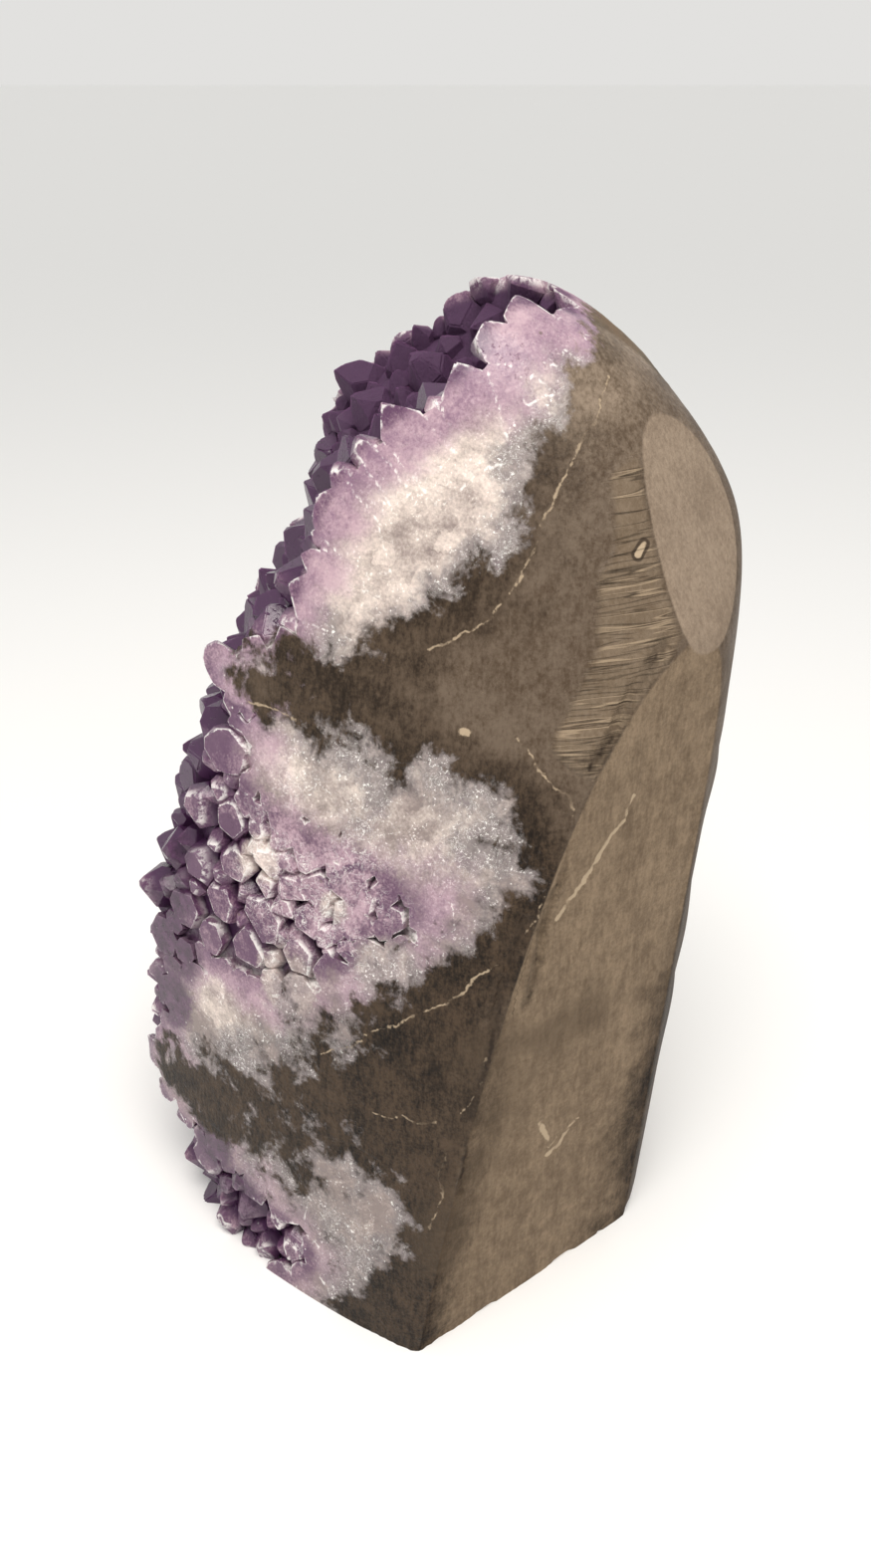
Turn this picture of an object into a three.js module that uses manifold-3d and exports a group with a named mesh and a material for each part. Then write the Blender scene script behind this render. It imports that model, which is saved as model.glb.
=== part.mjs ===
// Cut base amethyst cluster
//
// A wedge cut from a geode wall, standing on a sawn base. Z is up and the crystal
// face looks towards -Y. Two pieces: the basalt rock behind, and the quartz crust
// that lines it with the amethyst crystals grown on its front. All sizes in mm.

import * as THREE from "three";
import { mergeVertices } from "three/addons/utils/BufferGeometryUtils.js";
import Module from "manifold-3d";

const wasm = await Module();
wasm.setup();
const { degToRad, lerp, smoothstep } = THREE.MathUtils;

// Driving dimensions

const LAYER_GAP = 0.3;
const HEART = new THREE.Vector3(0, 0, 95);
const BASE_CENTRE = { x: -6.47, y: 0.6 };
const EDGE_SOFTNESS = 5;
const STONE_DETAIL = 9;
const BIG = 400;

// Ground faces of the stone: bearing round Z from +X, tilt above level, reach from HEART
const GROUND_FACES = [
  { bearing: -45, tilt: 8, reach: 41.5 },
  { bearing: -28, tilt: 9, reach: 38 },
  { bearing: -14, tilt: 17, reach: 41 },
  { bearing: 10, tilt: 30, reach: 60 },
  { bearing: -90, tilt: -4, reach: 74 },
  { bearing: -90, tilt: 21, reach: 62 },
  { bearing: -90, tilt: 60, reach: 92 },
  { bearing: 35, tilt: 0, reach: 60 },
  { bearing: 72, tilt: -2, reach: 59 },
  { bearing: 110, tilt: 0, reach: 62 },
  { bearing: 90, tilt: 45, reach: 95 },
  { bearing: 60, tilt: 40, reach: 91.5 },
  { bearing: 60, tilt: 78, reach: 105 },
  { bearing: 140, tilt: 4, reach: 62 },
  { bearing: 180, tilt: 4, reach: 66 },
  { bearing: 180, tilt: 40, reach: 88 },
  { bearing: -140, tilt: 4, reach: 60 },
  { bearing: 0, tilt: -90, reach: 130 },
];

// Flats left by the saw and the grinding wheel: distance is from the origin
const FLATS = [
  { bearing: 0, tilt: -90, distance: 0 },
  { bearing: 35.3, tilt: 0, distance: 49.6 },
  { bearing: 46, tilt: 29, distance: 117.5 },
];

// Lumps of the unground back
const BACK_BEARING = 128;
const LUMP_HEIGHT = 2.4;

// Where rock meets quartz, as the y of the boundary up the middle: [z, y]
const ROCK_LINE = [
  [-5, -20], [8, -26], [20, -36], [35, -41], [50, -39], [65, -33], [80, -25], [110, -14],
  [135, -8], [155, 4], [175, 20], [190, 32], [205, 38],
];
// Swells of that boundary: centre x and z, width, height, how far towards +y
const ROCK_SWELLS = [
  { x: 46, z: 108, wide: 17, high: 26, push: 42 },
  { x: 48, z: 72, wide: 16, high: 18, push: 17 },
  { x: 52, z: 34, wide: 15, high: 25, push: 43 },
  { x: 24, z: 162, wide: 24, high: 12, push: 7 },
  { x: 14, z: 136, wide: 12, high: 10, push: -24 },
  { x: 14, z: 36, wide: 13, high: 13, push: -16 },
  { x: -44, z: 60, wide: 24, high: 20, push: 30 },
  { x: -46, z: 128, wide: 24, high: 18, push: 26 },
  { x: -40, z: 94, wide: 20, high: 9, push: -12 },
];

// Where the crystals root, as the y of the druse floor up the middle: [z, y]
const DRUSE_LINE = [
  [-5, -47], [25, -51], [50, -54], [75, -54], [90, -49], [108, -40], [120, -36],
  [130, -29], [140, -22], [150, -17.5], [165, -12], [176, -5], [185, 8], [195, 14], [205, 20],
];
const DRUSE_SWELLS = [
  { x: 44, z: 101, wide: 21, high: 24, push: 49 },
  { x: 36, z: 76, wide: 18, high: 14, push: 26 },
  { x: -8, z: 187, wide: 13, high: 17, push: 26 },
  { x: -44, z: 168, wide: 14, high: 9, push: -4 },
  { x: 46, z: 12, wide: 19, high: 22, push: 30 },
  { x: -40, z: 70, wide: 22, high: 26, push: 24 },
];
const THINNEST_CRUST = 3.5;

// Crystals
const CRYSTAL_TRIES = 4000;
const WIDEST_SPACING = 12;
const CLOSEST_SPACING = 9.2;
const CRYSTAL_LEAN = 17;
const TIP_SLOPE = 1.05;
const ROOT_DEPTH = 9;

// Repeatable random numbers

let seed = 20771;
function random() {
  seed = (seed * 16807) % 2147483647;
  return seed / 2147483647;
}
const between = (low, high) => lerp(low, high, random());

// Solids

function toSolid(geometry) {
  const bare = geometry.clone();
  bare.deleteAttribute("normal");
  bare.deleteAttribute("uv");
  const welded = mergeVertices(bare, 1e-4);
  const vertProperties = new Float32Array(welded.attributes.position.array);
  const triVerts = new Uint32Array(welded.index.array);
  return new wasm.Manifold(new wasm.Mesh({ numProp: 3, vertProperties, triVerts }));
}

function toGeometry(solid) {
  const mesh = solid.getMesh();
  const geometry = new THREE.BufferGeometry();
  geometry.setAttribute("position", new THREE.BufferAttribute(mesh.vertProperties, 3));
  geometry.setIndex(new THREE.BufferAttribute(mesh.triVerts, 1));
  const flat = geometry.toNonIndexed();
  flat.computeVertexNormals();
  return flat;
}

function direction(bearing, tilt) {
  const b = degToRad(bearing);
  const t = degToRad(tilt);
  return new THREE.Vector3(Math.cos(b) * Math.cos(t), Math.sin(b) * Math.cos(t), Math.sin(t));
}

// The ground stone

const faceList = GROUND_FACES.map((face) => ({
  normal: direction(face.bearing, face.tilt),
  reach: face.reach,
}));

// How far a point lies past the rounded envelope of the ground faces
function pastEnvelope(point) {
  const offset = point.clone().sub(HEART);
  const parts = faceList.map((face) => (face.normal.dot(offset) - face.reach) / EDGE_SOFTNESS);
  const top = Math.max(...parts);
  const sum = parts.reduce((total, part) => total + Math.exp(part - top), 0);
  return EDGE_SOFTNESS * (top + Math.log(sum));
}

// Distance from HEART to the envelope in one direction, by halving
function envelopeReach(ray) {
  let near = 0;
  let far = 200;
  for (let step = 0; step < 40; step += 1) {
    const middle = (near + far) / 2;
    if (pastEnvelope(ray.clone().multiplyScalar(middle).add(HEART)) > 0) far = middle;
    else near = middle;
  }
  return near;
}

function lump(ray) {
  const level = ray.clone().setZ(0).normalize();
  const back = smoothstep(level.dot(direction(BACK_BEARING, 0)), 0.5, 0.85) * (1 - ray.z * ray.z);
  const wave = Math.sin(9 * ray.x + 4 * ray.z) * Math.cos(11 * ray.z - 3 * ray.y)
    + 0.6 * Math.sin(17 * ray.z + 6 * ray.x) * Math.sin(14 * ray.y + 2);
  return back * LUMP_HEIGHT * wave;
}

// A block whose near side is the given flat, ready to cut away what lies past it
function blockPast(flat) {
  const normal = direction(flat.bearing, flat.tilt);
  const block = new THREE.BoxGeometry(BIG, BIG, BIG);
  const turn = new THREE.Quaternion().setFromUnitVectors(new THREE.Vector3(0, 0, 1), normal);
  block.applyQuaternion(turn);
  const middle = normal.clone().multiplyScalar(flat.distance + BIG / 2);
  block.translate(middle.x, middle.y, middle.z);
  return toSolid(block);
}

function groundStone() {
  const ball = mergeVertices(new THREE.IcosahedronGeometry(1, STONE_DETAIL).deleteAttribute("uv"), 1e-5);
  const position = ball.attributes.position;
  const ray = new THREE.Vector3();
  for (let i = 0; i < position.count; i += 1) {
    ray.fromBufferAttribute(position, i).normalize();
    const far = envelopeReach(ray) + lump(ray);
    position.setXYZ(i, HEART.x + ray.x * far, HEART.y + ray.y * far, HEART.z + ray.z * far);
  }
  return FLATS.reduce((stone, flat) => stone.subtract(blockPast(flat)), toSolid(ball));
}

// The two curved sheets inside the stone

function alongLine(line, z) {
  const last = line.length - 1;
  if (z <= line[0][0]) return line[0][1];
  if (z >= line[last][0]) return line[last][1];
  let i = 0;
  while (line[i + 1][0] < z) i += 1;
  const slope = (k) => {
    const a = line[Math.max(k - 1, 0)];
    const b = line[Math.min(k + 1, last)];
    return (b[1] - a[1]) / (b[0] - a[0]);
  };
  const span = line[i + 1][0] - line[i][0];
  const t = (z - line[i][0]) / span;
  const t2 = t * t;
  const t3 = t2 * t;
  return (2 * t3 - 3 * t2 + 1) * line[i][1] + (t3 - 2 * t2 + t) * span * slope(i)
    + (3 * t2 - 2 * t3) * line[i + 1][1] + (t3 - t2) * span * slope(i + 1);
}

function swells(list, x, z) {
  return list.reduce((total, swell) => {
    const across = (x - swell.x) / swell.wide;
    const up = (z - swell.z) / swell.high;
    return total + swell.push * Math.exp(-across * across - up * up);
  }, 0);
}

const rockFront = (x, z) => alongLine(ROCK_LINE, z) + swells(ROCK_SWELLS, x, z);
const druseFloor = (x, z) => Math.min(
  alongLine(DRUSE_LINE, z) + swells(DRUSE_SWELLS, x, z),
  rockFront(x, z) - THINNEST_CRUST,
);

function sheetNormal(sheet, x, z) {
  const step = 0.5;
  const acrossSlope = (sheet(x + step, z) - sheet(x - step, z)) / (2 * step);
  const upSlope = (sheet(x, z + step) - sheet(x, z - step)) / (2 * step);
  return new THREE.Vector3(acrossSlope, -1, upSlope).normalize();
}

// Everything behind a sheet, as a closed block with the sheet for its front
function solidBehind(sheet, columns, rows) {
  const columnCount = columns.length;
  const points = [];
  for (const z of rows) for (const x of columns) points.push(x, sheet(x, z), z);
  for (const z of rows) for (const x of columns) points.push(x, 150, z);
  const backStart = rows.length * columnCount;
  const index = [];
  const quad = (a, b, c, d) => index.push(a, b, c, a, c, d);
  for (let r = 0; r < rows.length - 1; r += 1) {
    for (let c = 0; c < columnCount - 1; c += 1) {
      const a = r * columnCount + c;
      quad(a, a + 1, a + 1 + columnCount, a + columnCount);
      quad(backStart + a + 1, backStart + a, backStart + a + columnCount, backStart + a + 1 + columnCount);
    }
  }
  for (let c = 0; c < columnCount - 1; c += 1) {
    const low = c;
    const high = (rows.length - 1) * columnCount + c;
    quad(low + 1, low, backStart + low, backStart + low + 1);
    quad(high, high + 1, backStart + high + 1, backStart + high);
  }
  for (let r = 0; r < rows.length - 1; r += 1) {
    const left = r * columnCount;
    const right = left + columnCount - 1;
    quad(left, left + columnCount, backStart + left + columnCount, backStart + left);
    quad(right + columnCount, right, backStart + right, backStart + right + columnCount);
  }
  const geometry = new THREE.BufferGeometry();
  geometry.setAttribute("position", new THREE.Float32BufferAttribute(points, 3));
  geometry.setIndex(index);
  return toSolid(geometry);
}

function evenSteps(start, end, count) {
  return Array.from({ length: count + 1 }, (_, i) => lerp(start, end, i / count));
}

// Amethyst crystals

// A six-sided prism with a six-sided point, its faces alternately larger and smaller
function crystalGeometry(radius, rise) {
  const tipHeight = radius * TIP_SLOPE;
  const profile = [
    new THREE.Vector2(0, -ROOT_DEPTH),
    new THREE.Vector2(radius, rise),
    new THREE.Vector2(0, rise + tipHeight),
  ];
  const geometry = new THREE.LatheGeometry(profile, 6);
  const position = geometry.attributes.position;
  const uneven = radius * between(0.05, 0.28);
  const tipX = radius * between(-0.2, 0.2);
  const tipZ = radius * between(-0.2, 0.2);
  for (let i = 0; i < position.count; i += 1) {
    const level = i % 3;
    const corner = Math.floor(i / 3) % 6;
    if (level === 1) position.setY(i, position.getY(i) + (corner % 2 ? uneven : -uneven));
    if (level === 2) position.setXYZ(i, tipX, position.getY(i), tipZ);
  }
  return geometry;
}

function standCrystal(place, outward, radius) {
  const geometry = crystalGeometry(radius, radius * between(0, 0.35));
  geometry.rotateY(between(0, Math.PI / 3));
  geometry.scale(between(0.86, 1.14), 1, 1);
  const lean = degToRad(CRYSTAL_LEAN) * Math.sqrt(random());
  const side = new THREE.Vector3(between(-1, 1), between(-1, 1), between(-1, 1));
  const axis = outward.clone().addScaledVector(side.cross(outward).normalize(), Math.tan(lean));
  const turn = new THREE.Quaternion().setFromUnitVectors(new THREE.Vector3(0, 1, 0), axis.normalize());
  geometry.applyQuaternion(turn);
  geometry.translate(place.x, place.y, place.z);
  return toSolid(geometry);
}

function crystalPlaces() {
  const places = [];
  for (let n = 0; n < CRYSTAL_TRIES; n += 1) {
    const x = between(-72, 66);
    const z = between(-2, 204);
    const point = new THREE.Vector3(x, druseFloor(x, z), z);
    const spacing = lerp(WIDEST_SPACING, CLOSEST_SPACING, n / CRYSTAL_TRIES);
    const clear = places.every((other) => other.point.distanceTo(point) > (spacing + other.spacing) / 2);
    if (clear && pastEnvelope(point) < 0.5) places.push({ point, spacing });
  }
  return places;
}

function growCrystals(crust) {
  return crystalPlaces().reduce((grown, place) => {
    const outward = sheetNormal(druseFloor, place.point.x, place.point.z);
    return grown.add(standCrystal(place.point, outward, place.spacing * 0.62));
  }, crust);
}

// The two pieces

const columns = [-85, -62, -50, -38, -25, -12, -2, 8, 15, 22, 30, 38, 46, 55, 68, 85];
const rows = evenSteps(-14, 210, 28);

// The rock stops short of the quartz by the layer gap, measured square to the boundary
const rockBackedOff = (x, z) => rockFront(x, z) - LAYER_GAP / sheetNormal(rockFront, x, z).y;

const stone = groundStone();
const behindRockFront = solidBehind(rockFront, columns, rows);
const rock = stone.intersect(solidBehind(rockBackedOff, columns, rows));

const lining = solidBehind(druseFloor, columns, rows);
const crust = growCrystals(lining.intersect(stone)).intersect(stone).subtract(behindRockFront);

// The finished part, with the middle of its base on the origin

const rockMaterial = new THREE.MeshStandardMaterial({ name: "basalt_rock", color: 0x6f655b, roughness: 0.7 });
const crustMaterial = new THREE.MeshStandardMaterial({ name: "amethyst_quartz", color: 0xb79cc9, roughness: 0.25 });

const basaltMatrix = new THREE.Mesh(toGeometry(rock), rockMaterial);
basaltMatrix.name = "basalt_matrix";
const amethystCrust = new THREE.Mesh(toGeometry(crust), crustMaterial);
amethystCrust.name = "amethyst_crust";

const group = new THREE.Group();
group.name = "cut_base_amethyst_cluster";
group.add(basaltMatrix, amethystCrust);

for (const piece of group.children) piece.geometry.translate(-BASE_CENTRE.x, -BASE_CENTRE.y, 0);

export default group;
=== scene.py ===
# %% [markdown]
# # A cut base amethyst cluster
#
# A geode is a hollow in basalt, lined first with milky quartz and then with
# amethyst. This piece is a wedge sawn out of such a wall. The sides are ground and
# partly polished, so they show the layers in section, the front keeps its crystals,
# and the base is sawn level. The frame holds two solids in real size: the rock and
# the crust of quartz and crystals. This lesson gives them a finer surface, crystals
# of every size, and their colours.

# %% The frame
import itertools
import math
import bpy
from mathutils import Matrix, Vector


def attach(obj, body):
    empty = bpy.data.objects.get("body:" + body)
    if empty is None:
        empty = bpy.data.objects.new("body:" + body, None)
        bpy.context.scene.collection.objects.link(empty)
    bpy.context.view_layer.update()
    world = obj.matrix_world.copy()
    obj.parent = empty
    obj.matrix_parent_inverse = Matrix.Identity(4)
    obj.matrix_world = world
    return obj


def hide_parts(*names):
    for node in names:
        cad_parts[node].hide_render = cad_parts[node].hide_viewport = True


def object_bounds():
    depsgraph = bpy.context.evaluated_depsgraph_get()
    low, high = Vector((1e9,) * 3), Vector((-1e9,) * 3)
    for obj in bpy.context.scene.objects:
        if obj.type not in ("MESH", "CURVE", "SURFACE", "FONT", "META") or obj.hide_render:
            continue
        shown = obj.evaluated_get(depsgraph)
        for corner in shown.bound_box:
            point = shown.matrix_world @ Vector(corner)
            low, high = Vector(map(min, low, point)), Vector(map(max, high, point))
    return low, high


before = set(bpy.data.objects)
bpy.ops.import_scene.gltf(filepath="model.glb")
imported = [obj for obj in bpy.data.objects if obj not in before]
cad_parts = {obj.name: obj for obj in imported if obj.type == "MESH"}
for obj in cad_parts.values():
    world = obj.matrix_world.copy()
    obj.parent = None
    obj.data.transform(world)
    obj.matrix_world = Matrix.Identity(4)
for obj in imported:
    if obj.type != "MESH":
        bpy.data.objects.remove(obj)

from types import SimpleNamespace

import bmesh
import bpy
import numpy as np
from mathutils import Euler

MM = 0.001
cad_low, cad_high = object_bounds()
print("pieces:", sorted(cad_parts))
print("size in mm:", [round(side * 1000, 1) for side in cad_high - cad_low])

# %% [markdown]
# ## Where the picture was taken from
#
# The vertical edges of the piece run together towards the base, as they do when a
# phone with a short lens is held close and tipped down. A lens of 26 mm, a tilt of
# 32 degrees and a place about 24 cm from the middle of the stone give the same
# edges. The camera comes first, because later cells lay cracks and saw marks on the
# stone by looking along its lines of sight.

# %% Camera
EYE = np.array([203.47, 4.4, 226.0])
TIPPED_DOWN = 32
LENS = 26.0
SENSOR = 36.0
PICTURE = (875, 1575)

lens = bpy.data.cameras.new("picture_lens")
lens.lens = LENS
lens.sensor_fit = "VERTICAL"
lens.sensor_height = SENSOR
lens.clip_start = 0.01
viewer = bpy.data.objects.new("picture_camera", lens)
viewer.location = EYE * MM
viewer.rotation_euler = Euler((math.radians(90 - TIPPED_DOWN), 0, math.radians(90)))
bpy.context.scene.collection.objects.link(viewer)
bpy.context.scene.camera = viewer
LOOK = np.array(viewer.rotation_euler.to_matrix())
FOCAL = LENS / SENSOR * PICTURE[1]


def sight_lines(pixels):
    """Directions in which pixels of the picture look."""
    pixels = np.asarray(pixels, float)
    across = (pixels[:, 0] - PICTURE[0] / 2) / FOCAL
    up = (PICTURE[1] / 2 - pixels[:, 1]) / FOCAL
    lines = np.stack([across, up, -np.ones(len(pixels))], 1) @ LOOK.T
    return lines / np.linalg.norm(lines, axis=1)[:, None]


print("the middle of the picture looks along", sight_lines([(437.5, 787.5)])[0].round(3))

# %% [markdown]
# ## The ground stone
#
# The wheel left a body of gently rounded faces with a few true flats. One way to
# build it is to sculpt it, but then every edge has to be found by eye. Here each
# ground face is a plane with a bearing, a tilt and a distance, and a soft maximum
# of the planes rounds the edges between them. The flats join with a much smaller
# softness, so their edges stay almost sharp, as ground edges do.

# %% Ground faces
BASE_CENTRE = np.array([-6.47, 0.6, 0.0])
HEART = np.array([0.0, 0.0, 95.0]) - BASE_CENTRE
GROUND_FACES = np.array([
    (-45, 8, 41.5), (-28, 9, 38), (-14, 17, 41), (10, 30, 60), (-90, -4, 74),
    (-90, 21, 62), (-90, 60, 92), (35, 0, 60), (72, -2, 59), (110, 0, 62),
    (90, 45, 95), (60, 40, 91.5), (60, 78, 105), (140, 4, 62), (180, 4, 66),
    (180, 40, 88), (-140, 4, 60), (0, -90, 130),
], float)
SIDE_FLAT = (35.3, 0, 49.6)
SHOULDER_FLAT = (46, 29, 117.5)
ROUNDING = 5.0
FLAT_ROUNDING = 0.5


def direction(bearing, tilt):
    bearing, tilt = np.radians(bearing), np.radians(tilt)
    level = np.cos(tilt)
    return np.stack([np.cos(bearing) * level, np.sin(bearing) * level, np.sin(tilt)], -1)


def soft_maximum(values, softness):
    top = values.max(-1)
    rest = np.exp((values - top[..., None]) / softness).sum(-1)
    return top + softness * np.log(rest)


FACE_NORMALS = direction(GROUND_FACES[:, 0], GROUND_FACES[:, 1])


def past_body(points):
    """Millimetres by which points lie outside the rounded body, which has no flats yet."""
    return soft_maximum((points - HEART) @ FACE_NORMALS.T - GROUND_FACES[:, 2], ROUNDING)


def past_flat(points, flat):
    """Millimetres by which points lie outside one flat."""
    bearing, tilt, distance = flat
    return (points + BASE_CENTRE) @ direction(bearing, tilt) - distance


def past_stone(points):
    """Millimetres by which points lie outside the ground stone."""
    flats = [past_flat(points, flat) for flat in (SIDE_FLAT, SHOULDER_FLAT)]
    return soft_maximum(np.stack([past_body(points), *flats], -1), FLAT_ROUNDING)


def flat_step(points, flat):
    """Positive on a flat and negative beside it, in millimetres, with zero at its edge."""
    return past_flat(points, flat) - past_body(points)


rock_corners = np.array([v.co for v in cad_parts["basalt_matrix"].data.vertices]) / MM
print("rock solid lies outside the stone by at most", past_stone(rock_corners).max().round(2), "mm")

# %% Where a ray meets the stone
def find_surface(start, rays, near, far, steps=32):
    """Points where rays cross the stone's surface, by halving the stretch."""
    inside_first = past_stone(start + rays * near[:, None]) < 0
    for _ in range(steps):
        middle = (near + far) / 2
        inside = past_stone(start + rays * middle[:, None]) < 0
        keep_near = inside == inside_first
        near = np.where(keep_near, middle, near)
        far = np.where(keep_near, far, middle)
    return start + rays * near[:, None]


upwards = find_surface(HEART, np.array([[0.0, 0.0, 1.0]]), np.zeros(1), np.full(1, 220.0))
print("the stone above its heart is", upwards[0, 2].round(1), "mm high")

# %% [markdown]
# ## Marks laid on one by one
#
# Cracks, saw marks and stains belong to one stone and follow no rule. Each is a
# short line of picture points. A line of sight through each point meets the stone
# in one place, and that place is where the mark lies, whatever side it is seen from.

# %% Laying picture points on the stone
NEAREST, FARTHEST = 60.0, 420.0


def lay_on_stone(pixels):
    rays = sight_lines(pixels)
    reaches = np.arange(NEAREST, FARTHEST, 1.0)
    sampled = EYE + rays[:, None] * reaches[None, :, None]
    outside = past_stone(sampled.reshape(-1, 3)).reshape(len(rays), -1) > 0
    first = np.argmin(outside, axis=1)
    return find_surface(EYE, rays, reaches[first - 1], reaches[first])


def offset_from_lines(points, lines):
    """For each point, the step to it in millimetres from the nearest place on the lines."""
    best = np.full((len(points), 3), 99.0)
    for line in lines:
        corners = lay_on_stone(line)
        for start, end in zip(corners[:-1], corners[1:]):
            along = end - start
            part = np.clip((points - start) @ along / (along @ along), 0, 1)
            offset = points - start - part[:, None] * along
            nearer = (offset**2).sum(1) < (best**2).sum(1)
            best[nearer] = offset[nearer]
    return best


def distance_from_lines(points, lines):
    return np.linalg.norm(offset_from_lines(points, lines), axis=1)


print("the middle of the picture shows the stone at", lay_on_stone([(437.5, 787.5)])[0].round(0))

# %% Veins, cracks and stains
PALE_VEINS = [
    [(612, 380), (603, 402), (598, 425), (584, 440), (577, 460), (566, 480), (556, 505),
     (546, 520), (540, 545), (528, 570), (518, 590), (510, 600), (496, 618), (478, 632),
     (462, 636), (450, 646), (430, 652)],
    [(548, 900), (540, 922), (524, 942), (500, 968), (482, 980), (462, 1000), (440, 1012),
     (420, 1018), (400, 1030), (376, 1034), (350, 1052), (322, 1058)],
    [(540, 772), (556, 790), (570, 800), (576, 818)],
    [(520, 742), (534, 756), (540, 772)],
    [(374, 1118), (392, 1124), (404, 1120), (422, 1130), (438, 1126)],
    [(488, 1062), (484, 1090), (472, 1110), (462, 1118)],
    [(448, 1160), (440, 1180), (446, 1200), (430, 1236)],
    [(250, 706), (280, 712), (300, 726)],
]
THICK_VEINS = [
    [(637, 802), (628, 826), (612, 846), (600, 868), (590, 884), (574, 904), (562, 924)],
]
PALE_CHIPS = [
    [(580, 1124), (572, 1134), (562, 1150), (550, 1160)],
    [(544, 1128), (548, 1138), (552, 1146)],
    [(464, 735), (469, 736)],
]
FISSURES = [
    [(566, 880), (556, 906), (548, 932), (541, 968), (536, 985), (530, 1010)],
    [(528, 925), (512, 965), (500, 1010), (492, 1060), (470, 1130), (462, 1200)],
    [(668, 645), (640, 690), (618, 735), (592, 772)],
]
STAINS = [
    [(488, 1060), (540, 1045), (596, 1020)],
    [(520, 1085), (470, 1190), (440, 1262)],
]
PEBBLE = [[(641, 557), (648, 545)]]
print("the first vein turns", len(PALE_VEINS[0]) - 2, "times")
print("and ends at", lay_on_stone(PALE_VEINS[0])[-1].round(0))

# %% [markdown]
# ## Relief of the worked surfaces
#
# The flats were left matte, the back was never ground, and a band below the
# shoulder still shows the steps of the saw. Bump mapping would only fake the
# light, so the marks that a finger could feel move the surface itself. Everything
# is cut inwards: a wheel takes away and never adds, and the stone keeps its size.

# %% Smooth random values in space
def smooth_noise(points, size, seed=0.0):
    """Values from -1 to 1 with bumps about size millimetres apart."""
    place = points / size + seed * 7.31
    cell = np.floor(place)
    part = place - cell
    part = part * part * (3 - 2 * part)
    total = np.zeros(len(points))
    for corner in itertools.product((0, 1), repeat=3):
        at = cell + corner
        mixed = np.sin(at @ np.array([12.9898, 78.233, 37.719]) + seed) * 43758.5453
        weight = np.prod(np.where(corner, part, 1 - part), axis=1)
        total += weight * (2 * (mixed - np.floor(mixed)) - 1)
    return total


def smooth_step(values, start, end):
    part = np.clip((values - start) / (end - start), 0, 1)
    return part * part * (3 - 2 * part)


print("noise at the origin:", smooth_noise(np.zeros((1, 3)), 5.0).round(3))

# %% Saw marks
SAW_BAND = [(652, 500), (652, 560), (645, 620), (640, 660), (622, 700), (604, 742)]
SAW_STEP = 0.7
groove_start, groove_end = lay_on_stone([(600, 655), (682, 641)])
GROOVE = (groove_end - groove_start) / np.linalg.norm(groove_end - groove_start)
ACROSS = np.array([0.0, 0.0, 1.0]) - GROOVE[2] * GROOVE
ACROSS /= np.linalg.norm(ACROSS)
DRAWN_OUT = 20


def saw_band(points):
    """1 in the band that the saw left stepped, 0 elsewhere."""
    edge = distance_from_lines(points, [SAW_BAND]) + 1.5 * smooth_noise(points, 5.0, 3.5)
    on_flat = np.maximum(flat_step(points, SHOULDER_FLAT), flat_step(points, SIDE_FLAT))
    return (1 - smooth_step(edge, 5.5, 7.5)) * (1 - smooth_step(on_flat, -0.5, 0.1))


def along_grooves(points):
    """Places squeezed along the grooves, so that any pattern on them is drawn out."""
    side = np.cross(GROOVE, ACROSS)
    return np.stack([points @ ACROSS, points @ GROOVE / DRAWN_OUT, points @ side / DRAWN_OUT], 1)


def saw_depth(points):
    drawn_out = along_grooves(points)
    steps = smooth_noise(drawn_out, 2.2, 3.0) + 0.5 * smooth_noise(drawn_out, 4.1, 4.0)
    return SAW_STEP * smooth_step(steps, 0.0, 0.6)


band_top, band_foot = lay_on_stone([SAW_BAND[0], SAW_BAND[-1]])
print("the saw band is", np.linalg.norm(band_top - band_foot).round(0), "mm long")

# %% The unground back
BACK_BEARING = 128
UNGROUND_BEARING = 152
LUMP_HEIGHT = 2.4


def back_lumps(rays):
    """The same lumps that the frame's solids have on the back."""
    x, y, z = rays.T
    level = rays[:, :2] / np.linalg.norm(rays[:, :2] + 1e-9, axis=1)[:, None]
    facing = level @ direction(BACK_BEARING, 0)[:2]
    back = smooth_step(facing, 0.5, 0.85) * (1 - z * z)
    wave = np.sin(9 * x + 4 * z) * np.cos(11 * z - 3 * y)
    wave += 0.6 * np.sin(17 * z + 6 * x) * np.sin(14 * y + 2)
    return back * LUMP_HEIGHT * wave


def on_back(points):
    """1 on the unground back, 0 on the ground sides."""
    level = (points - HEART)[:, :2]
    facing = level @ direction(UNGROUND_BEARING, 0)[:2] / np.linalg.norm(level, axis=1).clip(1)
    return smooth_step(facing + 0.03 * smooth_noise(points, 12.0, 6.8), 0.5, 0.68)


print("facing straight back:", on_back(HEART + [direction(UNGROUND_BEARING, 0) * 50]).round(2))

# %% All the relief together
CRACK_DEPTH = 0.8
CHIP_DEPTH = 1.3
CHIPPED_UP_TO = 3.2


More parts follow.
